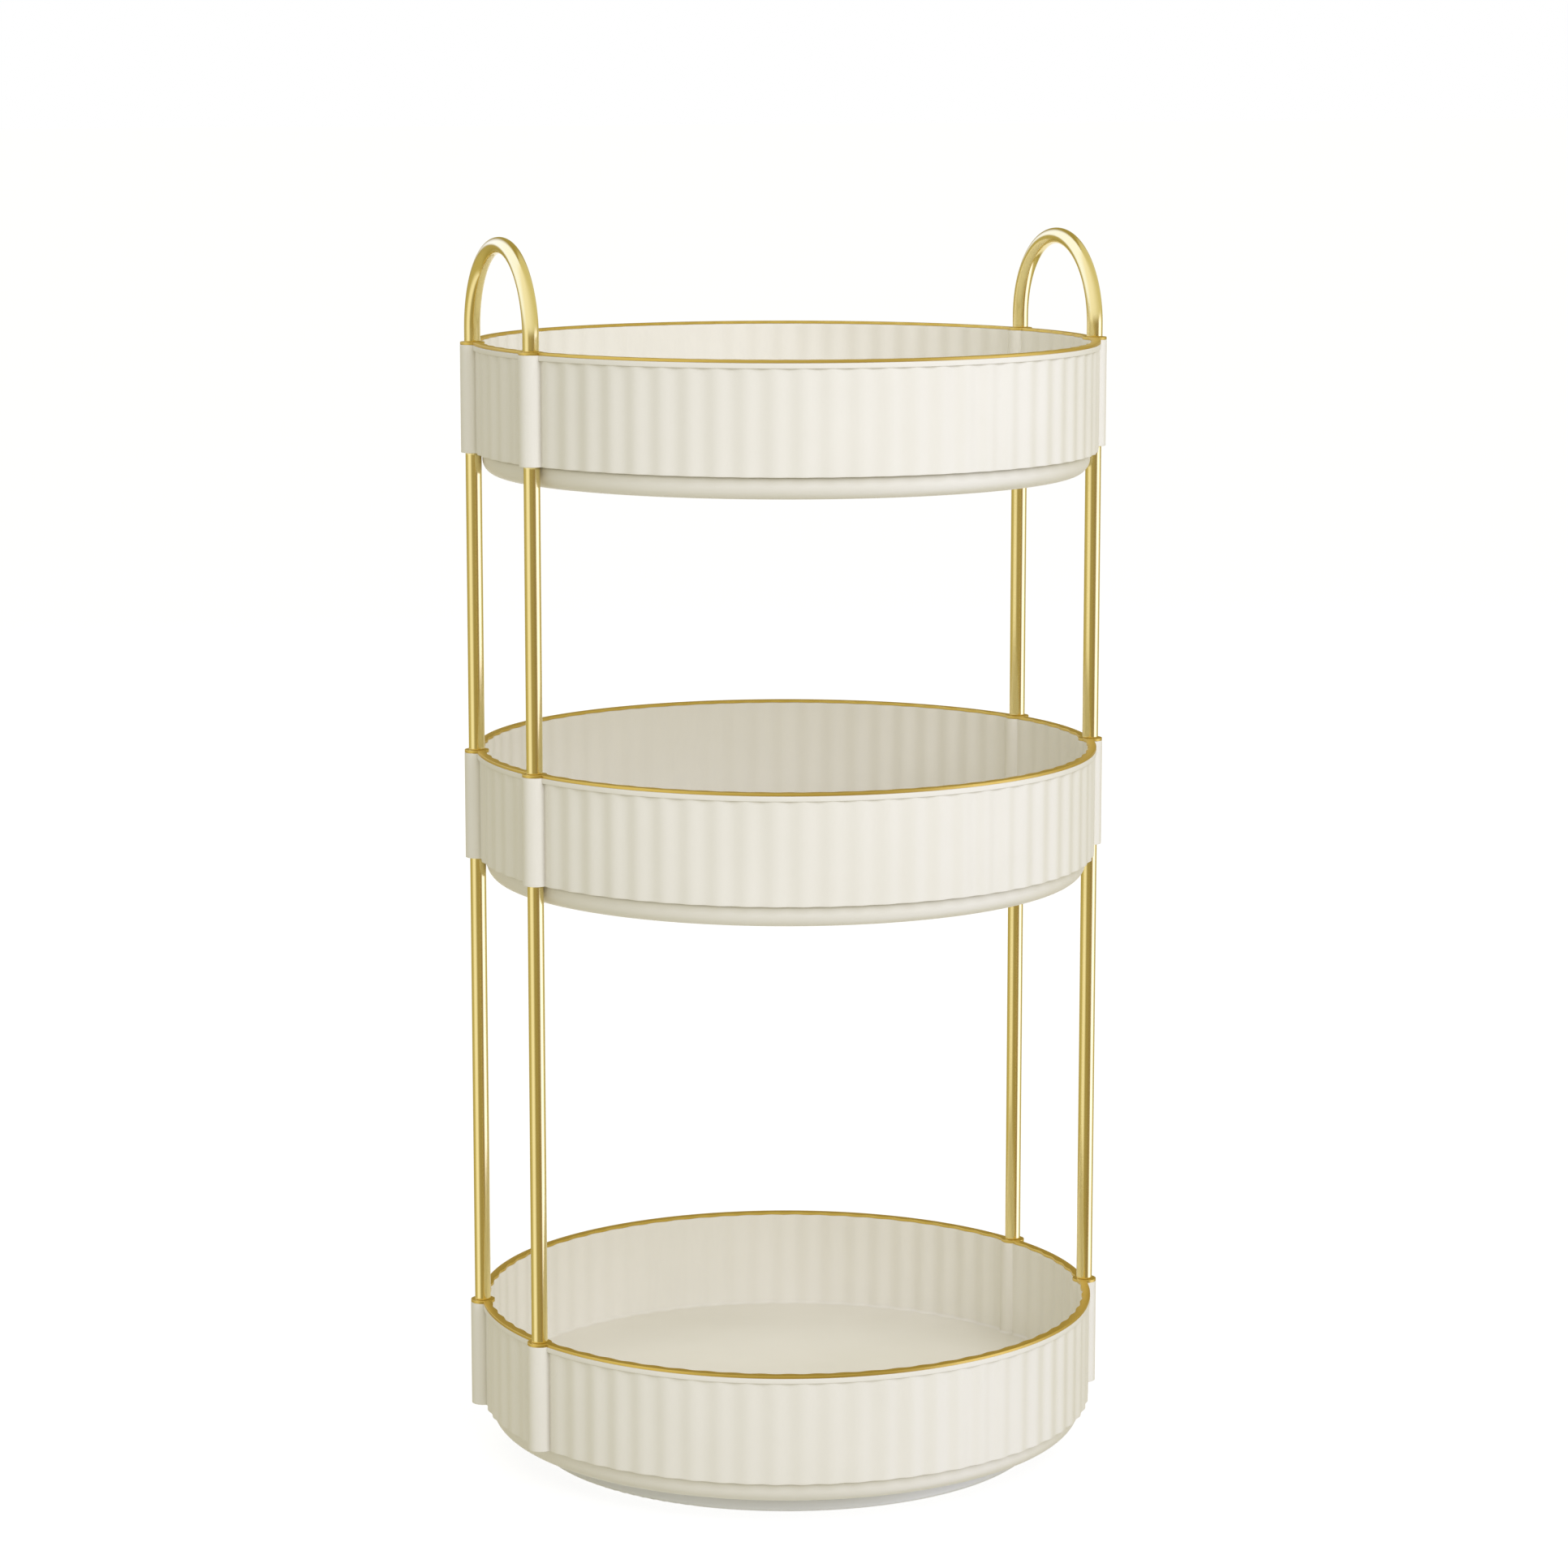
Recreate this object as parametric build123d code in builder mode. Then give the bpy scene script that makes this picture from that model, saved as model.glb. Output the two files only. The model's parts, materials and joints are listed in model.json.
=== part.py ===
from build123d import *
import os
from math import cos, radians, sin, sqrt

# Rotating makeup organizer: three fluted round trays one above another on gold tubes, with a hoop
# handle on each side, turning on a ball-bearing turntable.
# Millimetres, +Z up. The origin is on the table, on the turntable's axis. The hoops are at -X and +X.

# Tray moulding
tray_radius = 117.2  # over the ridges of the flutes and over the plain band
flute_count = 72
flute_depth = 0.65  # ridge to valley
flute_height = 38.0
band_height = 2.0  # plain band between the flutes and the trim
wall_thickness = 2.8  # the wave outside and the one inside run in step
floor_thickness = 2.5
plinth_height = 8.4  # foot below the flutes
plinth_rounding = 5.7  # of its lower outer edge
foot_ring_width = 1.8  # flat ring that the plinth stands on
rim_trim_height = 1.0

# Uprights
tube_diameter = 6.0
socket_diameter = 9.2  # round column on the tray's wall
socket_inset = 0.2  # from the tray's outer radius to the socket's axis
plinth_clearance = 0.4  # between a tube and the plinth beside it
hoop_leg_spacing = 63.6
hoop_leg_height = 4.8  # straight part of a hoop above the trim
lower_tier_spacing = 212.8
upper_tier_spacing = 152.5

# Joints between tubes and trays
stud_diameter = 3.2
stud_hole_gap = 0.5  # round a stud in its socket
thread_gap = 0.05  # between a screw or stud and its tapped bore
thread_engagement = 8.0
thread_run_out = 1.5  # bore left beyond the end of a stud in a hoop
joint_head_diameter = 6.4
joint_head_height = 2.0
joint_head_gap = 0.2  # round a head in its counterbore
joint_head_depth = 0.4  # head below the socket's end

# Turntable base
base_radius = 98.0
base_height = 7.4
base_edge_radius = 2.0  # rounding of the lower outer edge
base_skirt_thickness = 2.4
base_floor_thickness = 4.2
base_rib_count = 12
base_rib_thickness = 1.6
base_rib_lift = 0.8  # ribs stop short of the skirt's lower edge
foot_count = 6
foot_diameter = 12.0
foot_thickness = 2.0
foot_proud = 1.0  # pad below the base
foot_edge_distance = 14.0  # from the base's outer edge to a pad's centre
foot_boss_wall = 2.4
foot_fit = 0.1

# Ball race
ball_count = 6
ball_diameter = 6.0
ball_gap = 0.15  # running gap at each race
race_edge_distance = 17.0  # from the turning plate's outer edge to the balls' circle
race_depth = 2.4
cage_width = 12.0
cage_thickness = 1.8
cage_pocket_gap = 0.2

# Turning plate and pivot
plate_edge_gap = 14.1  # between the plate and the plinth around it
plate_thickness = 4.0
hub_diameter = 18.0
hub_running_gap = 0.05
hub_boss_wall = 5.0
hub_boss_rise = 2.0  # boss above the base's top face
pivot_end_gap = 0.3  # axial play between the base and the washer
pivot_screw_diameter = 4.0
pivot_screw_engagement = 10.0
pivot_head_diameter = 8.0
pivot_head_height = 1.4
pivot_head_lift = 1.3  # head above the table
washer_overlap = 3.0  # washer beyond the hub
washer_thickness = 0.8
plate_screw_count = 4
plate_screw_circle_radius = 40.0
plate_screw_diameter = 3.0
plate_screw_head_diameter = 6.0
plate_screw_head_height = 1.2
plate_boss_diameter = 8.0
plate_boss_height = 2.5
plate_boss_fit = 0.1
plate_screw_skin = 0.9  # floor left above a screw's end

# Tray sizes that follow
ridge_pitch = 360.0 / flute_count
inner_ridge_radius = tray_radius - wall_thickness
tray_height = plinth_height + flute_height + band_height
socket_radius = socket_diameter / 2
tube_radius = tube_diameter / 2
upright_circle_radius = tray_radius - socket_inset
plinth_radius = upright_circle_radius - tube_radius - plinth_clearance
recess_radius = plinth_radius - plinth_rounding - foot_ring_width
plate_radius = recess_radius - plate_edge_gap
race_radius = plate_radius - race_edge_distance

# Bores that follow the studs
tube_bore_radius = stud_diameter / 2 + thread_gap
stud_hole_radius = stud_diameter / 2 + stud_hole_gap

# Places of the four uprights
upright_y = hoop_leg_spacing / 2
upright_x = sqrt(upright_circle_radius**2 - upright_y**2)
upright_places = {
    "left_front": (-upright_x, -upright_y),
    "left_rear": (-upright_x, upright_y),
    "right_front": (upright_x, -upright_y),
    "right_rear": (upright_x, upright_y),
}
upright_points = list(upright_places.values())

# Heights of the turntable, from the table up
ball_radius = ball_diameter / 2
race_offset = ball_radius + ball_gap  # from a ball's centre to each race
base_bottom = foot_proud
base_top = base_bottom + base_height
base_floor_bottom = base_top - base_floor_thickness
race_bottom = base_top - race_depth
ball_height = race_bottom + race_offset * sqrt(2)
plate_bottom = ball_height + race_offset
plate_top = plate_bottom + plate_thickness
washer_bottom = pivot_head_lift + pivot_head_height
hub_bottom = washer_bottom + washer_thickness
hub_radius = hub_diameter / 2
washer_radius = hub_radius + washer_overlap

# Heights of the tiers
bottom_tray_height = plate_top - plinth_height
middle_tray_height = bottom_tray_height + lower_tier_spacing
top_tray_height = middle_tray_height + upper_tier_spacing

os.makedirs("parts", exist_ok=True)


def polar(radius, angle):
    """Point at a radius and an angle in degrees."""
    return (radius * cos(radians(angle)), radius * sin(radians(angle)))


def socket_bottom(tray_bottom):
    """Height of the lower end of a tray's sockets, level with the foot of its flutes."""
    return tray_bottom + plinth_height


def trim_bottom(tray_bottom):
    """Height of a tray's upper edge, where its trim sits."""
    return tray_bottom + tray_height


def trim_top(tray_bottom):
    """Height of the seat for the tubes that stand on a tray."""
    return trim_bottom(tray_bottom) + rim_trim_height


def save(part, label):
    """Name a finished piece and write it."""
    part.label = label
    export_step(part, f"parts/{label}.step")


def draw_wave(ridge_radius):
    """Closed wave inside a BuildLine: a convex and a concave arc for each flute."""
    middle_radius = ridge_radius - flute_depth / 2
    valley_radius = ridge_radius - flute_depth
    for flute in range(flute_count):
        ridge = flute * ridge_pitch
        rise = polar(middle_radius, ridge - ridge_pitch / 4)
        fall = polar(middle_radius, ridge + ridge_pitch / 4)
        next_rise = polar(middle_radius, ridge + ridge_pitch * 3 / 4)
        ThreePointArc(rise, polar(ridge_radius, ridge), fall)
        ThreePointArc(fall, polar(valley_radius, ridge + ridge_pitch / 2), next_rise)


def make_tray(label, bottom, on_turntable=False):
    """One tray: fluted wall with a plain band, floor, rounded plinth and four sockets."""
    flute_bottom = bottom + plinth_height
    floor_top = flute_bottom + floor_thickness
    band_bottom = flute_bottom + flute_height
    top = trim_bottom(bottom)
    with BuildPart() as tray:
        # Plinth ring, rounded at its lower outer edge, open underneath
        with BuildSketch(Plane.XZ):
            with BuildLine():
                CenterArc((plinth_radius - plinth_rounding, bottom + plinth_rounding), plinth_rounding, -90, 90)
                Polyline(
                    (plinth_radius, bottom + plinth_rounding),
                    (plinth_radius, flute_bottom),
                    (recess_radius, flute_bottom),
                    (recess_radius, bottom),
                    (plinth_radius - plinth_rounding, bottom),
                )
            make_face()
        revolve(axis=Axis.Z)
        # Wall and floor, with the flutes outside
        with BuildSketch(Plane.XY.offset(flute_bottom)):
            with BuildLine():
                draw_wave(tray_radius)
            make_face()
        extrude(amount=flute_height)
        # Plain band above the flutes
        with BuildSketch(Plane.XY.offset(band_bottom)):
            Circle(tray_radius)
        extrude(amount=band_height)
        # Inside of the tray, with the same wave
        with BuildSketch(Plane.XY.offset(floor_top)):
            with BuildLine():
                draw_wave(inner_ridge_radius)
            make_face()
        extrude(amount=top - floor_top, mode=Mode.SUBTRACT)
        # Sockets for the uprights, drilled through for the studs
        with BuildSketch(Plane.XY.offset(flute_bottom)):
            with Locations(*upright_points):
                Circle(socket_radius)
        extrude(amount=top - flute_bottom)
        with BuildSketch(Plane.XY.offset(flute_bottom)):
            with Locations(*upright_points):
                Circle(stud_hole_radius)
        extrude(amount=top - flute_bottom, mode=Mode.SUBTRACT)
        if on_turntable:
            # Counterbores for the heads of the joint screws
            with BuildSketch(Plane.XY.offset(flute_bottom)):
                with Locations(*upright_points):
                    Circle(joint_head_diameter / 2 + joint_head_gap)
            extrude(amount=joint_head_depth + joint_head_height, mode=Mode.SUBTRACT)
            # Drilled bosses under the floor that seat in the turning plate
            with BuildSketch(Plane.XY.offset(flute_bottom)):
                with PolarLocations(plate_screw_circle_radius, plate_screw_count):
                    Circle(plate_boss_diameter / 2)
            extrude(amount=-plate_boss_height)
            with BuildSketch(Plane.XY.offset(flute_bottom - plate_boss_height)):
                with PolarLocations(plate_screw_circle_radius, plate_screw_count):
                    Circle(plate_screw_diameter / 2 + thread_gap)
            extrude(amount=plate_boss_height + floor_thickness - plate_screw_skin, mode=Mode.SUBTRACT)
    save(tray.part, label)


def make_rim_trim(label, tray_bottom):
    """Gold trim on a tray's upper edge: round outside, wavy inside, with a round lobe over each socket."""
    with BuildPart() as trim:
        with BuildSketch(Plane.XY.offset(trim_bottom(tray_bottom))):
            Circle(tray_radius)
            with BuildLine():
                draw_wave(inner_ridge_radius)
            make_face(mode=Mode.SUBTRACT)
            with Locations(*upright_points):
                Circle(socket_radius)
                Circle(stud_hole_radius, mode=Mode.SUBTRACT)
        extrude(amount=rim_trim_height)
    save(trim.part, label)


def make_tube(label, place, bottom, top):
    """Straight tube between two trays, tapped at both ends."""
    with BuildPart() as tube:
        with BuildSketch(Plane.XY.offset(bottom)):
            with Locations(place):
                Circle(tube_radius)
                Circle(tube_bore_radius, mode=Mode.SUBTRACT)
        extrude(amount=top - bottom)
    save(tube.part, label)


def make_hoop(label, side):
    """Handle hoop: two straight legs and a half circle, tapped at both feet."""
    foot = trim_top(top_tray_height)
    bend = foot + hoop_leg_height
    legs = [place for place in upright_points if place[0] * side > 0]
    with BuildPart() as hoop:
        with BuildLine(Plane.YZ.offset(side * upright_x)):
            Line((-upright_y, foot), (-upright_y, bend))
            ThreePointArc((-upright_y, bend), (0, bend + upright_y), (upright_y, bend))
            Line((upright_y, bend), (upright_y, foot))
        with BuildSketch(Plane.XY.offset(foot)):
            with Locations(legs[0]):
                Circle(tube_radius)
        sweep()
        with BuildSketch(Plane.XY.offset(foot)):
            with Locations(*legs):
                Circle(tube_bore_radius)
        extrude(amount=thread_engagement + thread_run_out, mode=Mode.SUBTRACT)
    save(hoop.part, label)


def make_studs(label, tray_bottom):
    """Threaded studs through a tray's sockets, joining the tubes below to what stands above."""
    bottom = socket_bottom(tray_bottom) - thread_engagement
    top = trim_top(tray_bottom) + thread_engagement
    with BuildPart() as studs:
        with BuildSketch(Plane.XY.offset(bottom)):
            with Locations(*upright_points):
                Circle(stud_diameter / 2)
        extrude(amount=top - bottom)
    save(studs.part, label)


# Turntable base: a disc with a skirt, ribs and foot pockets below, a ball race and a pivot boss above
with BuildPart() as base_disc:
    skirt_inner_radius = base_radius - base_edge_radius - base_skirt_thickness
    with BuildSketch(Plane.XZ) as base_profile:
        with BuildLine():
            Polyline(
                (0, base_top),
                (base_radius, base_top),
                (base_radius, base_bottom),
                (skirt_inner_radius, base_bottom),
                (skirt_inner_radius, base_floor_bottom),
                (0, base_floor_bottom),
                close=True,
            )
        make_face()
        fillet(base_profile.vertices().group_by(Axis.X)[-1].sort_by(Axis.Y)[0], base_edge_radius)
    revolve(axis=Axis.Z)
    # Ribs from the pivot to the skirt
    rib_outer = skirt_inner_radius + base_skirt_thickness / 2
    rib_inner = washer_radius + pivot_end_gap
    with BuildSketch(Plane.XY.offset(base_bottom + base_rib_lift)):
        with PolarLocations(0, base_rib_count):
            with Locations(((rib_outer + rib_inner) / 2, 0)):
                Rectangle(rib_outer - rib_inner, base_rib_thickness)
    extrude(until=Until.NEXT)
    # Bosses and pockets for the foot pads
    foot_circle_radius = base_radius - foot_edge_distance
    with BuildSketch(Plane.XY.offset(base_bottom)):
        with PolarLocations(foot_circle_radius, foot_count):
            Circle(foot_diameter / 2 + foot_boss_wall)
    extrude(amount=base_floor_bottom - base_bottom)
    with BuildSketch(Plane.XY.offset(base_bottom)):
        with PolarLocations(foot_circle_radius, foot_count):
            Circle(foot_diameter / 2 + foot_fit)
    extrude(amount=foot_thickness - foot_proud, mode=Mode.SUBTRACT)
    # V-shaped race for the balls
    with BuildSketch(Plane.XZ):
        with BuildLine():
            Polyline(
                (race_radius - race_depth, base_top),
                (race_radius, race_bottom),
                (race_radius + race_depth, base_top),
                close=True,
            )
        make_face()
    revolve(axis=Axis.Z, mode=Mode.SUBTRACT)
    # Pivot boss, its bore and the recess for the washer
    with BuildSketch(Plane.XY.offset(hub_bottom + pivot_end_gap)):
        Circle(hub_radius + hub_boss_wall)
    extrude(amount=base_top + hub_boss_rise - hub_bottom - pivot_end_gap)
    with BuildSketch(Plane.XY.offset(base_bottom)):
        Circle(hub_radius + hub_running_gap)
    extrude(amount=base_height + hub_boss_rise, mode=Mode.SUBTRACT)
    with BuildSketch(Plane.XY.offset(base_bottom)):
        Circle(washer_radius + pivot_end_gap)
    extrude(amount=hub_bottom + pivot_end_gap - base_bottom, mode=Mode.SUBTRACT)
save(base_disc.part, "base_disc")

# Non-slip pads in the base's pockets
with BuildPart() as foot_pads:
    with BuildSketch(Plane.XY):
        with PolarLocations(foot_circle_radius, foot_count):
            Circle(foot_diameter / 2)
    extrude(amount=foot_thickness)
save(foot_pads.part, "foot_pads")

# Cage that spaces the balls
with BuildPart() as ball_cage:
    with BuildSketch(Plane.XY.offset(ball_height - cage_thickness / 2)):
        Circle(race_radius + cage_width / 2)
        Circle(race_radius - cage_width / 2, mode=Mode.SUBTRACT)
        with PolarLocations(race_radius, ball_count):
            Circle(ball_radius + cage_pocket_gap, mode=Mode.SUBTRACT)
    extrude(amount=cage_thickness)
save(ball_cage.part, "ball_cage")

# Bearing balls
with BuildPart() as bearing_balls:
    with Locations((0, 0, ball_height)):
        with PolarLocations(race_radius, ball_count):
            Sphere(ball_radius)
save(bearing_balls.part, "bearing_balls")

# Turning plate under the bottom tray, with the pivot hub and seats for the tray's bosses
with BuildPart() as turntable_plate:
    with BuildSketch(Plane.XY.offset(plate_bottom)):
        Circle(plate_radius)
    extrude(amount=plate_thickness)
    with BuildSketch(Plane.XY.offset(hub_bottom)):
        Circle(hub_radius)
    extrude(amount=plate_bottom - hub_bottom)
    with BuildSketch(Plane.XY.offset(hub_bottom)):
        Circle(pivot_screw_diameter / 2 + thread_gap)
    extrude(amount=pivot_screw_engagement + thread_gap, mode=Mode.SUBTRACT)
    with BuildSketch(Plane.XY.offset(plate_top - plate_boss_height)):
        with PolarLocations(plate_screw_circle_radius, plate_screw_count):
            Circle(plate_boss_diameter / 2 + plate_boss_fit)
    extrude(amount=plate_boss_height, mode=Mode.SUBTRACT)
    with BuildSketch(Plane.XY.offset(plate_bottom)):
        with PolarLocations(plate_screw_circle_radius, plate_screw_count):
            Circle(plate_screw_diameter / 2 + thread_gap)
    extrude(amount=plate_thickness, mode=Mode.SUBTRACT)
save(turntable_plate.part, "turntable_plate")

# Screws that hold the plate to the bottom tray
plate_screw_length = plate_thickness + floor_thickness - plate_screw_skin - thread_gap
with BuildPart() as plate_screws:
    with BuildSketch(Plane.XY.offset(plate_bottom)):
        with PolarLocations(plate_screw_circle_radius, plate_screw_count):
            Circle(plate_screw_head_diameter / 2)
    extrude(amount=-plate_screw_head_height)
    with BuildSketch(Plane.XY.offset(plate_bottom)):
        with PolarLocations(plate_screw_circle_radius, plate_screw_count):
            Circle(plate_screw_diameter / 2)
    extrude(amount=plate_screw_length)
save(plate_screws.part, "plate_screws")

# Washer and screw that keep the base on the hub
with BuildPart() as pivot_washer:
    with BuildSketch(Plane.XY.offset(washer_bottom)):
        Circle(washer_radius)
        Circle(pivot_screw_diameter / 2 + thread_gap, mode=Mode.SUBTRACT)
    extrude(amount=washer_thickness)
save(pivot_washer.part, "pivot_washer")

with BuildPart() as pivot_screw:
    with BuildSketch(Plane.XY.offset(pivot_head_lift)):
        Circle(pivot_head_diameter / 2)
    extrude(amount=pivot_head_height)
    with BuildSketch(Plane.XY.offset(washer_bottom)):
        Circle(pivot_screw_diameter / 2)
    extrude(amount=washer_thickness + pivot_screw_engagement)
save(pivot_screw.part, "pivot_screw")

# Trays and their trim
make_tray("bottom_tray", bottom_tray_height, on_turntable=True)
make_tray("middle_tray", middle_tray_height)
make_tray("top_tray", top_tray_height)
make_rim_trim("bottom_rim_trim", bottom_tray_height)
make_rim_trim("middle_rim_trim", middle_tray_height)
make_rim_trim("top_rim_trim", top_tray_height)

# Tubes between the trays, and the handle hoops
for name, point in upright_places.items():
    make_tube(f"lower_tube_{name}", point, trim_top(bottom_tray_height), socket_bottom(middle_tray_height))
    make_tube(f"upper_tube_{name}", point, trim_top(middle_tray_height), socket_bottom(top_tray_height))
make_hoop("left_handle_hoop", -1)
make_hoop("right_handle_hoop", 1)

# Fasteners of the uprights
make_studs("middle_joint_studs", middle_tray_height)
make_studs("top_joint_studs", top_tray_height)

joint_head_top = socket_bottom(bottom_tray_height) + joint_head_depth + joint_head_height
with BuildPart() as bottom_joint_screws:
    with BuildSketch(Plane.XY.offset(joint_head_top)):
        with Locations(*upright_points):
            Circle(joint_head_diameter / 2)
    extrude(amount=-joint_head_height)
    with BuildSketch(Plane.XY.offset(joint_head_top)):
        with Locations(*upright_points):
            Circle(stud_diameter / 2)
    extrude(amount=trim_top(bottom_tray_height) + thread_engagement - joint_head_top)
save(bottom_joint_screws.part, "bottom_joint_screws")
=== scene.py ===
import json
import math

import bmesh
import bpy
import numpy as np
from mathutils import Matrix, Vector

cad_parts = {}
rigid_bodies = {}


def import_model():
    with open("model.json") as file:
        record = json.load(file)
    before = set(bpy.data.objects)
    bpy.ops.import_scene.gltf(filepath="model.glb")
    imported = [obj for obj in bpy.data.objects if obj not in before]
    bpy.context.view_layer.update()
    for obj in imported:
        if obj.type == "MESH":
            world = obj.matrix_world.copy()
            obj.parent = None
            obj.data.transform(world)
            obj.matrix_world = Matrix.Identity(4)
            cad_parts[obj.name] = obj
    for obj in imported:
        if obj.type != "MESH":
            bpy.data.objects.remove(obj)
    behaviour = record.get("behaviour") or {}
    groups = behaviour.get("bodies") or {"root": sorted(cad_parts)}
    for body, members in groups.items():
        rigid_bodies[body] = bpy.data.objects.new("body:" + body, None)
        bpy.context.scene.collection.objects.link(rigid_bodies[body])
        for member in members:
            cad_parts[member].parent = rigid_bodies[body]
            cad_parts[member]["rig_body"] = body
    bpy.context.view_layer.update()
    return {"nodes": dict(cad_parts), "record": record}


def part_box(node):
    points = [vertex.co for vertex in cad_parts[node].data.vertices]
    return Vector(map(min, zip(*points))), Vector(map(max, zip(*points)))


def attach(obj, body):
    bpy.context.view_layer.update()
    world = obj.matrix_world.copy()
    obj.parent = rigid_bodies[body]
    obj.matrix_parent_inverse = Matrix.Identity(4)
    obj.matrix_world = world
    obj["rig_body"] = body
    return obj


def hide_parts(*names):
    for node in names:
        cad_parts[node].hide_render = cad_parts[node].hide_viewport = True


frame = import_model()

# Rotating makeup organizer: looks of the trays, trim, tubes, hoops and turntable.
# Metres, +Z up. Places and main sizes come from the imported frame.

mm = 0.001

# Tray moulding
flute_count = 72
flute_depth = 0.65 * mm
band_height = 2.0 * mm  # plain band above the flutes
band_lip = 0.35 * mm  # band proud of the flutes' ridges
band_draft = 0.05 * mm  # slope of the step under the band
wall_thickness = 2.8 * mm
foot_ring_width = 1.8 * mm
plinth_clearance = 0.4 * mm  # between a tube and the plinth beside it
plinth_edge_radius = 5.7 * mm
socket_radius = 4.6 * mm
socket_seam = 0.06 * mm  # width of the crease beside a socket

# Roundings
rim_rounding = 0.4 * mm
band_rounding = 0.2 * mm
flute_foot_rounding = 0.15 * mm
floor_fillet = 1.2 * mm
foot_rounding = 0.4 * mm
plinth_fillet = 0.3 * mm
trim_rounding = 0.12 * mm
trim_crown = 0.03 * mm  # rise of the trim's middle
trim_setback = 0.05 * mm
tube_end_rounding = 0.25 * mm

# Meshes
flute_samples = 12  # points along each flute
socket_samples = 29  # points round half a socket
seam_room = 3  # seam widths beside a socket that stay free of the flutes' even points
edge_tolerance = 1e-9  # share of a socket's radius
support_width = 1.0 * mm  # flat strip beside a rounding that keeps its shading clean
rounding_steps = 4
plinth_steps = 12
tube_segments = 72
hoop_steps = 96
sharp_angle = math.radians(50)

# Painted crevice shade: base colour darkened where ambient occlusion finds crevices, and the share of it
# that shows on a tray
crease_attribute = "crease_share"
plinth_crease = 1.0  # under the flutes' overhang
wall_crease = 0.25
crevice_reach = 3.0 * mm
crevice_samples = 12
crevice_shade = (0.30, 0.27, 0.19)
no_shade = (1.0, 1.0, 1.0)
shade_full = 0.55  # openness up to which the shade is full
shade_end = 0.78  # openness from which there is none

# Tones: where in a noise's range a surface is at its deep and at its pale tone
deep_place = 0.3
pale_place = 0.7

# Moulded plastic, with scales in cycles per metre
cloud_scale = 22.0
cloud_detail = 3.0
gloss_scale = 70.0
gloss_detail = 2.0
gloss_spread = 0.05  # of roughness, up and down
grain_scale = 2200.0
grain_detail = 3.0
grain_strength = 0.06
grain_depth = 0.1 * mm
plastic_ior = 1.48

# Plated metal
tone_scale = 30.0
tone_detail = 3.0
marks_detail = 4.0
marks_strength = 0.004
marks_depth = 0.02 * mm
marks_spread = 0.1  # share of roughness, up and down
lacquer_roughness = 0.08
lengthwise = (900.0, 900.0, 25.0)  # cycles per metre of the marks along an upright tube
all_round = (600.0, 600.0, 600.0)

# Camera, as fitted to the photograph
camera_azimuth = math.radians(-23.06)  # 0 looks along +Y
camera_distance = 1.6727  # from the stand's axis
camera_height = 0.5290
aim_height = 0.2557
aim_side = -0.0008  # to the camera's right of the axis
camera_lens = 102.65
camera_sensor = 36.0  # width, in millimetres like the lens

# Lamps: soft squares, at degrees to the camera's right of its own side of the stand
lamp_distance = 1.9
lamp_height = 1.3
lamp_size = 1.6
key_azimuth = 27
key_power = 23.3
key_colour = (0.96, 1.0, 1.28)
back_azimuth = 190
back_power = 10.5
back_colour = (1.0, 1.0, 1.02)

# Floor
floor_reach = 30.0
floor_drop = 0.05 * mm  # below the foot pads
floor_glow = 0.74  # share of the floor's look that is plain white
floor_white = 1.21  # brings the open floor up to white
floor_pass = 0.4  # share of bounced light that comes up through the floor
floor_deep = (0.76, 0.75, 0.70)
floor_pale = (0.78, 0.77, 0.72)
floor_cloud_scale = 3.0
floor_cloud_detail = 2.0

# Light from all round
ambient = 0.62
ambient_colour = (1.0, 0.975, 0.82, 1.0)
pure_white = (1.0, 1.0, 1.0, 1.0)

# Studio as polished metal mirrors it, in degrees to the camera's right: round the horizon and above it
dim_studio = (0.55, 0.48, 0.22)
left_window = (1.05, 1.02, 0.95)
camera_side = (0.40, 0.33, 0.15)
dark_flag = (0.33, 0.26, 0.13)
right_window = (1.60, 1.65, 2.40)
back_wall = (0.40, 0.325, 0.10)
rear_window = (1.00, 0.97, 0.88)
left_softbox = (1.15, 1.27, 1.85)
front_ceiling = (1.05, 1.05, 1.10)
right_ceiling = (0.72, 0.68, 0.45)
studio_peak = max(right_window)
horizon = [
    (-180, rear_window),
    (-165, rear_window),
    (-150, back_wall),
    (-120, dim_studio),
    (-98, dim_studio),
    (-65, left_window),
    (-47, left_window),
    (-18, camera_side),
    (6, camera_side),
    (26, dark_flag),
    (48, dark_flag),
    (68, right_window),
    (90, right_window),
    (116, dim_studio),
    (135, dim_studio),
    (150, back_wall),
    (165, rear_window),
    (180, rear_window),
]
upper_studio = [
    (-180, back_wall),
    (-168, back_wall),
    (-140, left_softbox),
    (-95, left_softbox),
    (-40, front_ceiling),
    (110, right_ceiling),
    (145, right_ceiling),
    (168, back_wall),
    (180, back_wall),
]
upper_start = -0.05  # height of a direction of length 1, where the upper part begins
upper_full = 0.14

# Sizes read from the frame
record = frame["record"]
slot_of = {part["node"]: part["material_slot"] for part in record["subparts"]}
floor_height = {mount["name"]: mount["pos_m"][2] for mount in record["mounts"]}
tray_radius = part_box("top_tray")[1].x
tube_low, tube_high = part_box("lower_tube_right_front")
tube_radius = (tube_high.x - tube_low.x) / 2
upright_x = (tube_high.x + tube_low.x) / 2
upright_y = -(tube_high.y + tube_low.y) / 2
upright_circle = math.hypot(upright_x, upright_y)
plinth_height = tube_high.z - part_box("middle_tray")[0].z
plinth_radius = upright_circle - tube_radius - plinth_clearance
foot_radius = plinth_radius - plinth_edge_radius
recess_radius = foot_radius - foot_ring_width
inner_radius = tray_radius - wall_thickness
socket_angles = [math.atan2(y, x) for x in (-upright_x, upright_x) for y in (-upright_y, upright_y)]


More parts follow.
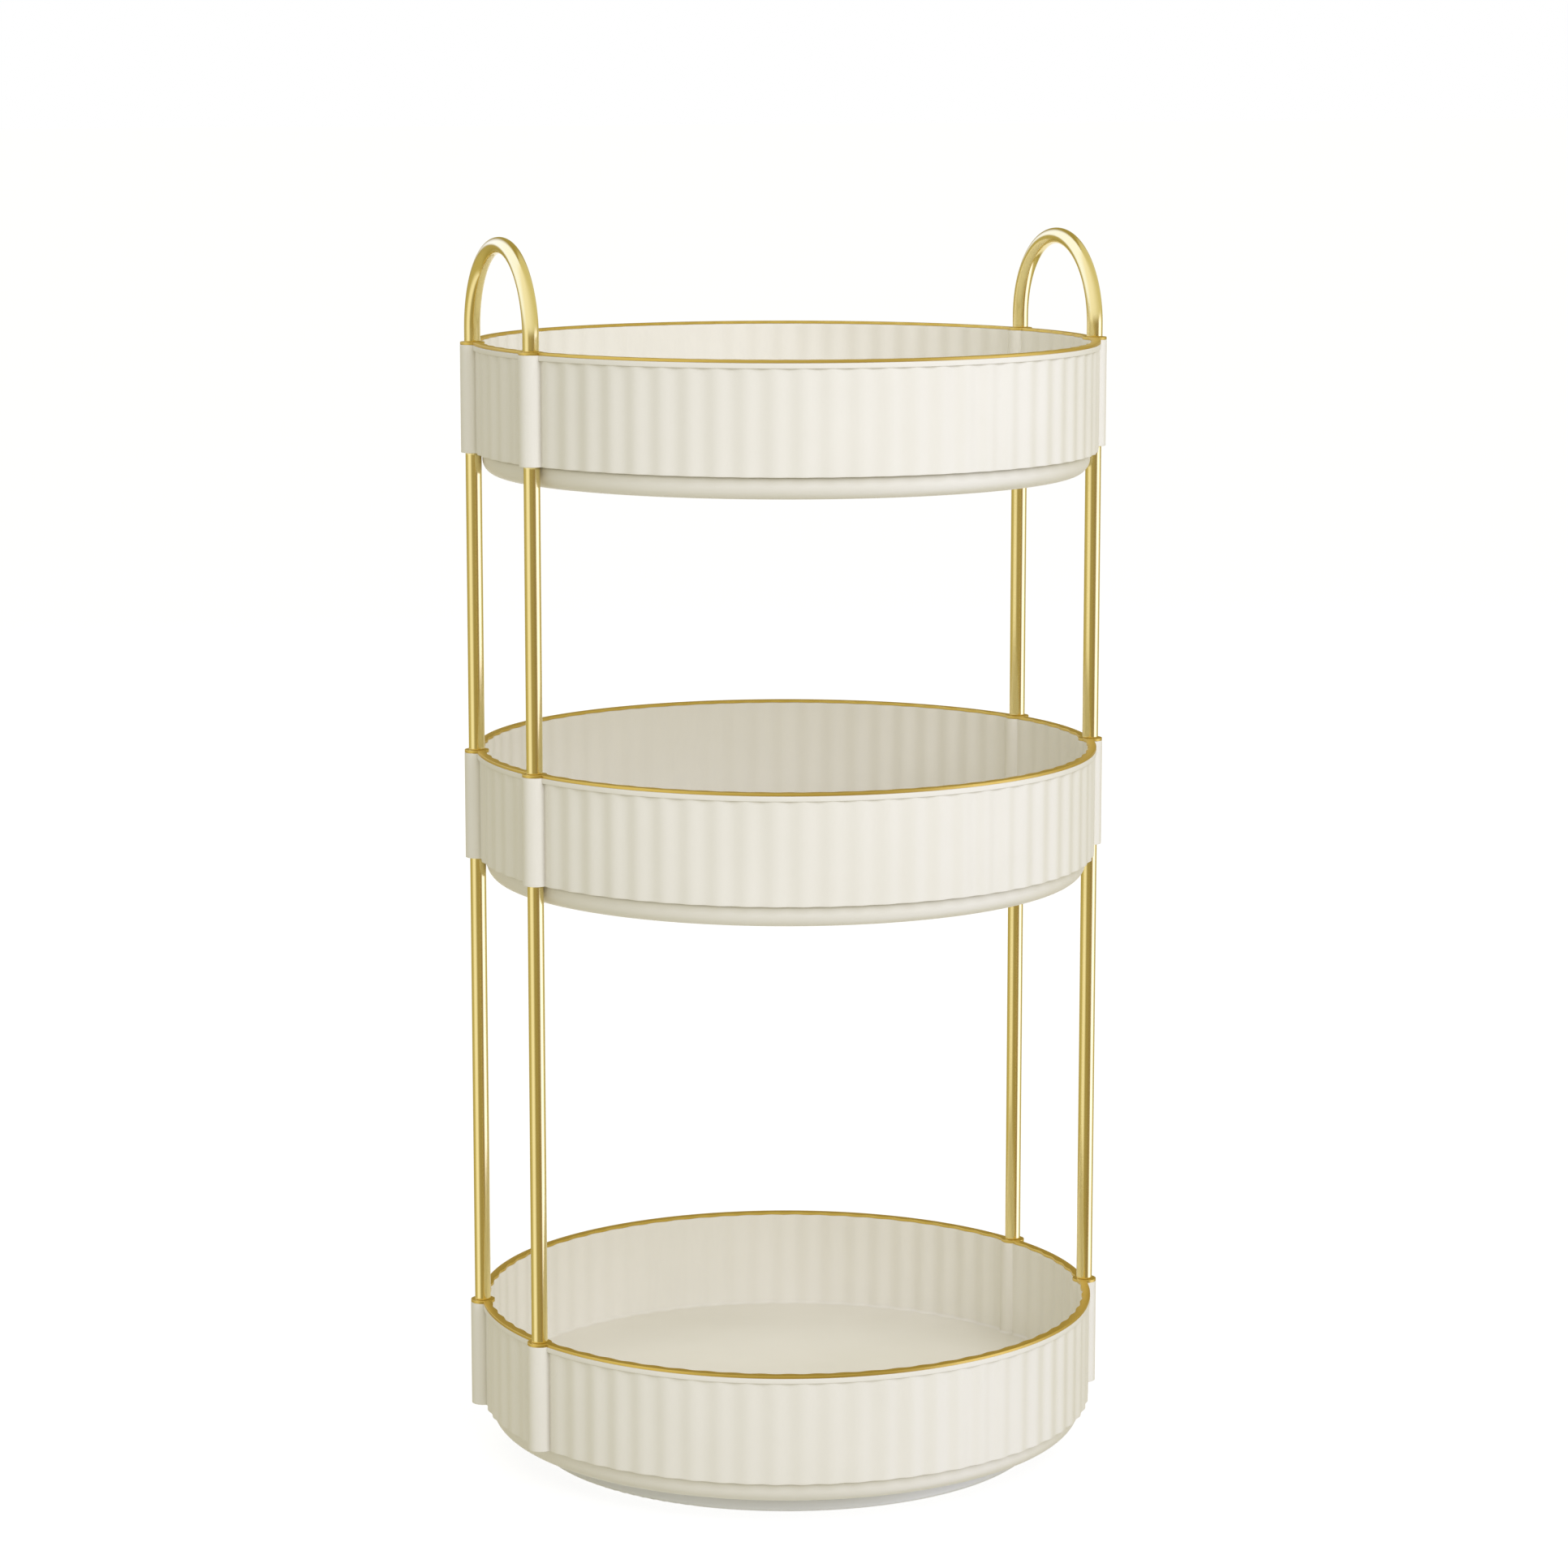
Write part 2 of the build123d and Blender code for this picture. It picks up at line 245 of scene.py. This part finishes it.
def make_ring_angles():
    """Angles of the points round a tray: even along the flutes and finer round the sockets."""
    even = np.linspace(0, 2 * math.pi, flute_count * flute_samples, endpoint=False)
    half_width = math.asin(socket_radius / upright_circle)
    seam = socket_seam / upright_circle
    found = []
    for middle in socket_angles:
        turn = np.angle(np.exp(1j * (even - middle)))
        even = even[np.abs(turn) > half_width + seam_room * seam]
        round_socket = np.sin(np.linspace(-math.pi / 2, math.pi / 2, socket_samples))
        found.append(middle + np.arcsin(round_socket * socket_radius / upright_circle))
        found.append(middle + np.array([-half_width - seam, half_width + seam]))
    return np.sort(np.concatenate([even, *found]) % (2 * math.pi))


ring_angles = make_ring_angles()
ring_cos = np.cos(ring_angles)
ring_sin = np.sin(ring_angles)


def wave(ridge_radius):
    """Radius of the flutes' wave at each angle."""
    return ridge_radius - flute_depth / 2 * (1 - np.cos(flute_count * ring_angles))


def socket_reach(side):
    """Radius of the sockets' far (1) or near (-1) side at each angle, and not a number between sockets."""
    reach = np.full(len(ring_angles), np.nan)
    for middle in socket_angles:
        turn = np.angle(np.exp(1j * (ring_angles - middle)))
        across = upright_circle * np.sin(turn)
        hit = (np.abs(across) <= socket_radius * (1 + edge_tolerance)) & (np.cos(turn) > 0)
        half_chord = np.sqrt(np.maximum(socket_radius**2 - across[hit] ** 2, 0))
        reach[hit] = upright_circle * np.cos(turn[hit]) + side * half_chord
    return reach


def shifted(outline, distance, side):
    """Outline moved a distance towards (-1) or away from (1) the axis, clear of every old point."""
    x = outline * ring_cos
    y = outline * ring_sin
    along = np.outer(ring_cos, x) + np.outer(ring_sin, y)
    across = np.outer(ring_cos, y) - np.outer(ring_sin, x)
    near = (np.abs(across) <= distance) & (along > 0) | np.eye(len(outline), dtype=bool)
    moved = along + side * np.sqrt(np.maximum(distance**2 - across**2, 0))
    moved = np.where(near, side * moved, -np.inf)
    return side * moved.max(axis=1)


def quarter(steps=rounding_steps):
    """Sine and cosine over a quarter turn."""
    return [(math.sin(t), math.cos(t)) for t in np.linspace(0, math.pi / 2, steps + 1)]


def ring_points(rings):
    """Points of rings, each an outline over the shared angles and a height."""
    stacks = []
    for outline, height in rings:
        radii = np.broadcast_to(outline, ring_angles.shape)
        heights = np.full(len(radii), height)
        stacks.append(np.column_stack([radii * ring_cos, radii * ring_sin, heights]))
    return np.concatenate(stacks)


def ring_faces(ring_count, size, closed):
    """Quads between rings. A closed stack joins its last ring to its first; an open one gets two caps."""
    faces = []
    for ring in range(ring_count if closed else ring_count - 1):
        start = ring * size
        after = (ring + 1) % ring_count * size
        for i in range(size):
            j = (i + 1) % size
            faces.append((start + i, start + j, after + j, after + i))
    if not closed:
        faces.append(tuple(range(size)))
        faces.append(tuple(range((ring_count - 1) * size, ring_count * size)))
    return faces


def add_piece(node, points, faces, crease_shares=None):
    """Smooth-shaded piece that stands for a CAD node, on its body and with its material.

    The crease shares say, for each point, how much of the painted crevice shade shows there.
    """
    name = f"{node}_visual"
    mesh = bpy.data.meshes.new(name)
    mesh.from_pydata([tuple(p) for p in points], [], faces)
    work = bmesh.new()
    work.from_mesh(mesh)
    bmesh.ops.recalc_face_normals(work, faces=work.faces)
    work.to_mesh(mesh)
    work.free()
    mesh.shade_smooth()
    mesh.set_sharp_from_angle(angle=sharp_angle)
    if crease_shares is not None:
        mesh.attributes.new(crease_attribute, "FLOAT", "POINT").data.foreach_set("value", crease_shares)
    mesh.materials.append(materials[slot_of[node]])
    piece = bpy.data.objects.new(name, mesh)
    bpy.context.scene.collection.objects.link(piece)
    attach(piece, frame["nodes"][node]["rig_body"])
    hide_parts(node)


def make_tray(node, floor_top):
    """Tray moulding: floor, wall with flutes in and out, band, sockets and rounded plinth."""
    low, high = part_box(node)
    bottom = low.z
    top = high.z
    flute_bottom = bottom + plinth_height
    band_bottom = top - band_height
    inner = np.fmin(wave(inner_radius), socket_reach(-1))
    sockets = socket_reach(1)
    band = np.fmax(tray_radius, sockets)
    flutes = np.fmax(wave(tray_radius - band_lip), sockets)
    rings = [(shifted(inner, floor_fillet + support_width, -1), floor_top)]
    for s, c in quarter():
        rings.append((shifted(inner, floor_fillet * (1 - s), -1), floor_top + floor_fillet * (1 - c)))
    rings.append((inner, top - rim_rounding - support_width))
    for s, c in quarter():
        rings.append((shifted(inner, rim_rounding * (1 - c), 1), top - rim_rounding * (1 - s)))
    for s, c in quarter():
        rings.append((shifted(band, rim_rounding * (1 - s), -1), top - rim_rounding * (1 - c)))
    for s, c in quarter():
        outline = np.fmax(tray_radius - band_rounding * (1 - c), sockets)
        rings.append((outline, band_bottom + band_rounding * (1 - s)))
    rings.append((flutes, band_bottom - band_draft))
    rings.append((flutes, band_bottom - support_width))
    rings.append((flutes, flute_bottom + flute_foot_rounding + support_width))
    for s, c in quarter():
        outline = shifted(flutes, flute_foot_rounding * (1 - c), -1)
        rings.append((outline, flute_bottom + flute_foot_rounding * (1 - s)))
    for s, c in quarter():
        rings.append((plinth_radius + plinth_fillet * (1 - s), flute_bottom - plinth_fillet * (1 - c)))
    for s, c in quarter(plinth_steps):
        rings.append((foot_radius + plinth_edge_radius * c, bottom + plinth_edge_radius * (1 - s)))
    for s, c in quarter():
        rings.append((recess_radius + foot_rounding * (1 - s), bottom + foot_rounding * (1 - c)))
    rings.append((recess_radius, bottom + foot_rounding + support_width))
    rings.append((recess_radius, flute_bottom))
    rings.append((recess_radius - support_width, flute_bottom))
    # Painted crevice shade: full on the plinth under the flutes' overhang, faint on the rest of the tray
    shares = [plinth_crease if height <= flute_bottom else wall_crease for _, height in rings]
    shares = np.repeat(shares, len(ring_angles))
    faces = ring_faces(len(rings), len(ring_angles), closed=False)
    add_piece(node, ring_points(rings), faces, shares)


def make_trim(node):
    """Gold trim: a low crowned ring, round outside and wavy inside, with a lobe over each socket."""
    low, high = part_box(node)
    inner = shifted(np.fmin(wave(inner_radius), socket_reach(-1)), trim_setback, 1)
    outer = shifted(np.fmax(tray_radius, socket_reach(1)), trim_setback, -1)
    shoulder = high.z - trim_crown
    rings = [(inner, low.z)]
    for s, c in quarter():
        rings.append((shifted(inner, trim_rounding * (1 - c), 1), shoulder - trim_rounding * (1 - s)))
    rings.append(((inner + outer) / 2, high.z))
    for s, c in quarter():
        rings.append((shifted(outer, trim_rounding * (1 - s), -1), shoulder - trim_rounding * (1 - c)))
    rings.append((outer, low.z))
    add_piece(node, ring_points(rings), ring_faces(len(rings), len(ring_angles), closed=True))


def circle_points(centre, across, upward, radius):
    """Points of a circle in the plane of two directions."""
    turns = np.linspace(0, 2 * math.pi, tube_segments, endpoint=False)
    spread = np.outer(np.cos(turns), across) + np.outer(np.sin(turns), upward)
    return np.asarray(centre) + radius * spread


def tube_end(bottom):
    """Radius and height at each station up a tube's rounded lower end."""
    stations = []
    for s, c in quarter():
        stations.append((tube_radius - tube_end_rounding * (1 - s), bottom + tube_end_rounding * (1 - c)))
    stations.append((tube_radius, bottom + support_width))
    return stations


def make_tube(node):
    """Straight tube with rounded ends."""
    low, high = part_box(node)
    middle = (low + high) / 2
    stations = tube_end(low.z)
    stations += [(radius, low.z + high.z - height) for radius, height in reversed(stations)]
    circles = [circle_points((middle.x, middle.y, z), (1, 0, 0), (0, 1, 0), r) for r, z in stations]
    add_piece(node, np.concatenate(circles), ring_faces(len(circles), tube_segments, closed=False))


def make_hoop(node):
    """Handle hoop: two legs and a half circle of tube."""
    low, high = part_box(node)
    side_x = (low.x + high.x) / 2
    bend_radius = (high.y - low.y) / 2 - tube_radius
    bend_height = high.z - tube_radius - bend_radius
    leg = tube_end(low.z)
    circles = [circle_points((side_x, bend_radius, z), (1, 0, 0), (0, 1, 0), r) for r, z in leg]
    for turn in np.linspace(0, math.pi, hoop_steps + 1):
        outward = np.array([0, math.cos(turn), math.sin(turn)])
        centre = np.array([side_x, 0, bend_height]) + bend_radius * outward
        circles.append(circle_points(centre, (1, 0, 0), outward, tube_radius))
    for r, z in reversed(leg):
        circles.append(circle_points((side_x, -bend_radius, z), (1, 0, 0), (0, -1, 0), r))
    add_piece(node, np.concatenate(circles), ring_faces(len(circles), tube_segments, closed=False))


def add_node(tree, kind, inputs=None, **settings):
    """New shader node. An input is a value, or the output that feeds it."""
    node = tree.nodes.new(kind)
    for name, value in settings.items():
        setattr(node, name, value)
    for name, value in (inputs or {}).items():
        if isinstance(value, bpy.types.NodeSocket):
            tree.links.new(value, node.inputs[name])
        else:
            node.inputs[name].default_value = value
    return node


def add_math(tree, operation, first, second):
    """Result of a sum on two values."""
    return add_node(tree, "ShaderNodeMath", {0: first, 1: second}, operation=operation).outputs["Value"]


def mix_shaders(tree, share, first, second):
    """Blend of two shaders, in which the second has the share."""
    return add_node(tree, "ShaderNodeMixShader", {0: share, 1: first, 2: second}).outputs["Shader"]


def add_ramp(tree, source, stops, interpolation="LINEAR"):
    """Colour from a ramp over stops of place and colour."""
    ramp = add_node(tree, "ShaderNodeValToRGB", {"Fac": source})
    ramp.color_ramp.interpolation = interpolation
    elements = ramp.color_ramp.elements
    while len(elements) < len(stops):
        elements.new(1.0)
    for element, (place, colour) in zip(elements, stops):
        element.position = place
        element.color = (*colour, 1.0)
    return ramp.outputs["Color"]


def start_material(name):
    """Empty node material, with its output and real-size texture coordinates."""
    material = bpy.data.materials.new(name)
    material.use_nodes = True
    tree = material.node_tree
    tree.nodes.clear()
    output = add_node(tree, "ShaderNodeOutputMaterial")
    place = add_node(tree, "ShaderNodeTexCoord").outputs["Object"]
    return material, tree, output, place


def add_noise(tree, place, scale, detail):
    """Noise value at a scale in cycles per metre."""
    noise = add_node(tree, "ShaderNodeTexNoise", {"Vector": place, "Scale": scale, "Detail": detail})
    return noise.outputs["Fac"]


def add_tones(tree, noise, deep, pale):
    """Colour that drifts with a noise between a deep and a pale tone."""
    return add_ramp(tree, noise, [(deep_place, deep), (pale_place, pale)])


def add_gloss(tree, noise, low, high):
    """Roughness that follows a noise between two values."""
    gloss = add_node(tree, "ShaderNodeMapRange", {"Value": noise, "To Min": low, "To Max": high})
    return gloss.outputs["Result"]


def add_relief(tree, noise, strength, depth):
    """Surface normal over a fine relief."""
    relief = add_node(
        tree,
        "ShaderNodeBump",
        {"Height": noise, "Strength": strength, "Distance": depth},
    )
    return relief.outputs["Normal"]


def add_crevice_shade(tree, colour):
    """Colour darkened by painted shade in crevices, found by ambient occlusion, by each point's crease
    share. A mesh without shares shows none of it.
    """
    openness = add_node(
        tree,
        "ShaderNodeAmbientOcclusion",
        {"Distance": crevice_reach},
        samples=crevice_samples,
        only_local=True,
    )
    shade = add_ramp(tree, openness.outputs["AO"], [(shade_full, crevice_shade), (shade_end, no_shade)])
    share = add_node(tree, "ShaderNodeAttribute", attribute_name=crease_attribute)
    shaded = add_node(
        tree,
        "ShaderNodeMix",
        {0: share.outputs["Fac"], 6: colour, 7: shade},
        data_type="RGBA",
        blend_type="MULTIPLY",
    )
    return shaded.outputs[2]


def make_plastic(name, deep, pale, roughness):
    """Moulded satin plastic: faint clouding, uneven gloss, fine moulded grain, and painted shade in
    crevices.
    """
    material, tree, output, place = start_material(name)
    colour = add_tones(tree, add_noise(tree, place, cloud_scale, cloud_detail), deep, pale)
    unevenness = add_noise(tree, place, gloss_scale, gloss_detail)
    grain = add_noise(tree, place, grain_scale, grain_detail)
    shader = add_node(
        tree,
        "ShaderNodeBsdfPrincipled",
        {
            "Base Color": add_crevice_shade(tree, colour),
            "Roughness": add_gloss(tree, unevenness, roughness - gloss_spread, roughness + gloss_spread),
            "Normal": add_relief(tree, grain, grain_strength, grain_depth),
            "IOR": plastic_ior,
        },
    )
    tree.links.new(shader.outputs["BSDF"], output.inputs["Surface"])
    return material


def make_metal(name, deep, pale, roughness, marks_scale, lacquer):
    """Plated metal: slight change of tone, and polishing marks that vary the gloss."""
    material, tree, output, place = start_material(name)
    stretched = add_node(tree, "ShaderNodeMapping", {"Vector": place, "Scale": marks_scale})
    marks = add_noise(tree, stretched.outputs["Vector"], 1.0, marks_detail)
    smoothest = roughness * (1 - marks_spread)
    roughest = roughness * (1 + marks_spread)
    shader = add_node(
        tree,
        "ShaderNodeBsdfPrincipled",
        {
            "Base Color": add_tones(tree, add_noise(tree, place, tone_scale, tone_detail), deep, pale),
            "Metallic": 1.0,
            "Roughness": add_gloss(tree, marks, smoothest, roughest),
            "Normal": add_relief(tree, marks, marks_strength, marks_depth),
            "Coat Weight": lacquer,
            "Coat Roughness": lacquer_roughness,
        },
    )
    tree.links.new(shader.outputs["BSDF"], output.inputs["Surface"])
    return material


# Finishes by slot: deep tone, pale tone and roughness; for metal also the marks' scale and the lacquer
plastics = {
    "cream_plastic": ((0.83, 0.80, 0.70), (0.86, 0.83, 0.735), 0.42),
    "white_plastic": ((0.90, 0.90, 0.88), (0.93, 0.93, 0.91), 0.40),
    "grey_plastic": ((0.58, 0.57, 0.54), (0.63, 0.62, 0.59), 0.48),
    "rubber": ((0.035, 0.035, 0.035), (0.05, 0.05, 0.05), 0.75),
}
metals = {
    "gold_tube": ((0.85, 0.72, 0.32), (0.87, 0.74, 0.34), 0.17, lengthwise, 0.5),
    "gold_trim": ((0.66, 0.475, 0.108), (0.70, 0.512, 0.124), 0.42, all_round, 0.0),
    "bearing_steel": ((0.66, 0.66, 0.66), (0.70, 0.70, 0.70), 0.10, all_round, 0.0),
    "zinc_steel": ((0.60, 0.60, 0.58), (0.68, 0.68, 0.67), 0.32, all_round, 0.0),
}
materials = {name: make_plastic(name, *finish) for name, finish in plastics.items()}
for name, finish in metals.items():
    materials[name] = make_metal(name, *finish)

# Pieces that stand for CAD nodes, and the finish of the nodes that stay
for level in ("bottom", "middle", "top"):
    make_tray(f"{level}_tray", floor_height[f"{level}_tray_floor"])
    make_trim(f"{level}_rim_trim")
for level in ("lower", "upper"):
    for place in ("left_front", "left_rear", "right_front", "right_rear"):
        make_tube(f"{level}_tube_{place}")
for side in ("left", "right"):
    make_hoop(f"{side}_handle_hoop")
for name, cad_object in frame["nodes"].items():
    cad_object.material_slots[0].material = materials[slot_of[name]]


def add_background_share(tree, path):
    """1 for the rays that show the white background: camera, glossy and transmission rays."""
    seen = add_math(tree, "MAXIMUM", path.outputs["Is Camera Ray"], path.outputs["Is Glossy Ray"])
    return add_math(tree, "MAXIMUM", seen, path.outputs["Is Transmission Ray"])


def make_floor_material():
    """White for the rays that show the background, with part of the real shading kept.

    It is clear from below, and partly clear to bounced light, which reaches the stand's underside.
    """
    material, tree, output, place = start_material("studio_floor")
    noise = add_noise(tree, place, floor_cloud_scale, floor_cloud_detail)
    tint = add_tones(tree, noise, floor_deep, floor_pale)
    matt = add_node(tree, "ShaderNodeBsdfDiffuse", {"Color": tint})
    glow = add_node(tree, "ShaderNodeEmission", {"Strength": floor_white})
    path = add_node(tree, "ShaderNodeLightPath")
    glow_share = add_math(tree, "MULTIPLY", add_background_share(tree, path), floor_glow)
    from_above = mix_shaders(tree, glow_share, matt.outputs["BSDF"], glow.outputs["Emission"])
    below = add_node(tree, "ShaderNodeNewGeometry").outputs["Backfacing"]
    bounced = add_math(tree, "MULTIPLY", path.outputs["Is Diffuse Ray"], floor_pass)
    clear_share = add_math(tree, "MAXIMUM", below, bounced)
    clear = add_node(tree, "ShaderNodeBsdfTransparent").outputs["BSDF"]
    tree.links.new(mix_shaders(tree, clear_share, from_above, clear), output.inputs["Surface"])
    return material


def make_floor():
    """Pale matt floor, darker where the stand shades it."""
    mesh = bpy.data.meshes.new("studio_floor")
    corners = [(-1, -1), (1, -1), (1, 1), (-1, 1)]
    points = [(x * floor_reach, y * floor_reach, -floor_drop) for x, y in corners]
    mesh.from_pydata(points, [], [(0, 1, 2, 3)])
    mesh.materials.append(make_floor_material())
    floor = bpy.data.objects.new("studio_floor", mesh)
    bpy.context.scene.collection.objects.link(floor)
    floor.visible_glossy = False


make_floor()


def add_background(tree, colour, strength):
    """World light of a colour."""
    light = add_node(tree, "ShaderNodeBackground", {"Color": colour, "Strength": strength})
    return light.outputs["Background"]


def add_studio_light(tree, bearing, stops):
    """World light whose colour changes with the bearing."""
    places = [((degrees + 180) / 360, [c / studio_peak for c in colour]) for degrees, colour in stops]
    return add_background(tree, add_ramp(tree, bearing, places, "EASE"), studio_peak)


def make_world():
    """White behind the stand, a plain level of light on it, and the studio in polished metal."""
    world = bpy.data.worlds.new("studio")
    bpy.context.scene.world = world
    world.use_nodes = True
    world.cycles.sampling_method = "NONE"
    tree = world.node_tree
    tree.nodes.clear()
    direction = add_node(tree, "ShaderNodeTexCoord").outputs["Generated"]
    turned = add_node(
        tree,
        "ShaderNodeVectorRotate",
        {"Vector": direction, "Angle": -camera_azimuth},
        rotation_type="Z_AXIS",
    )
    parts = add_node(tree, "ShaderNodeSeparateXYZ", {"Vector": turned.outputs["Vector"]})
    backward = add_math(tree, "MULTIPLY", parts.outputs["Y"], -1.0)
    bearing = add_math(tree, "ARCTAN2", parts.outputs["X"], backward)
    round_horizon = add_node(
        tree,
        "ShaderNodeMapRange",
        {"Value": bearing, "From Min": -math.pi, "From Max": math.pi},
    )
    upward = add_node(
        tree,
        "ShaderNodeMapRange",
        {"Value": parts.outputs["Z"], "From Min": upper_start, "From Max": upper_full},
        interpolation_type="SMOOTHSTEP",
    )
    low = add_studio_light(tree, round_horizon.outputs["Result"], horizon)
    high = add_studio_light(tree, round_horizon.outputs["Result"], upper_studio)
    mirrored = mix_shaders(tree, upward.outputs["Result"], low, high)
    path = add_node(tree, "ShaderNodeLightPath")
    white = add_background(tree, pure_white, 1.0)
    shown = mix_shaders(tree, path.outputs["Is Glossy Ray"], white, mirrored)
    lighting = add_background(tree, ambient_colour, ambient)
    output = add_node(tree, "ShaderNodeOutputWorld")
    share = add_background_share(tree, path)
    tree.links.new(mix_shaders(tree, share, lighting, shown), output.inputs["Surface"])


make_world()


def studio_point(azimuth, distance, height):
    """Point at degrees to the camera's right of its own side of the stand."""
    turn = camera_azimuth + math.radians(azimuth)
    return Vector((math.sin(turn) * distance, -math.cos(turn) * distance, height))


def aim_at(holder, target):
    """Turn a lamp or camera to a point."""
    holder.rotation_euler = (target - holder.location).to_track_quat("-Z", "Y").to_euler()


def add_lamp(name, azimuth, power, colour):
    """Soft lamp aimed at the middle of the stand. Polished metal shows the studio in its place."""
    lamp = bpy.data.lights.new(name, "AREA")
    lamp.shape = "SQUARE"
    lamp.size = lamp_size
    lamp.energy = power
    lamp.color = colour
    holder = bpy.data.objects.new(name, lamp)
    holder.location = studio_point(azimuth, lamp_distance, lamp_height)
    aim_at(holder, Vector((0.0, 0.0, aim_height)))
    holder.visible_camera = False
    holder.visible_glossy = False
    bpy.context.scene.collection.objects.link(holder)


add_lamp("key_lamp", key_azimuth, key_power, key_colour)
add_lamp("back_lamp", back_azimuth, back_power, back_colour)


def add_camera():
    """Camera at the photograph's place."""
    camera = bpy.data.cameras.new("camera")
    camera.lens = camera_lens
    camera.sensor_width = camera_sensor
    holder = bpy.data.objects.new("camera", camera)
    holder.location = studio_point(0, camera_distance, camera_height)
    rightward = Vector((math.cos(camera_azimuth), math.sin(camera_azimuth), 0.0))
    aim_at(holder, rightward * aim_side + Vector((0.0, 0.0, aim_height)))
    bpy.context.scene.collection.objects.link(holder)
    bpy.context.scene.camera = holder


add_camera()
bpy.context.scene.view_settings.view_transform = "Standard"

bpy.context.view_layer.update()
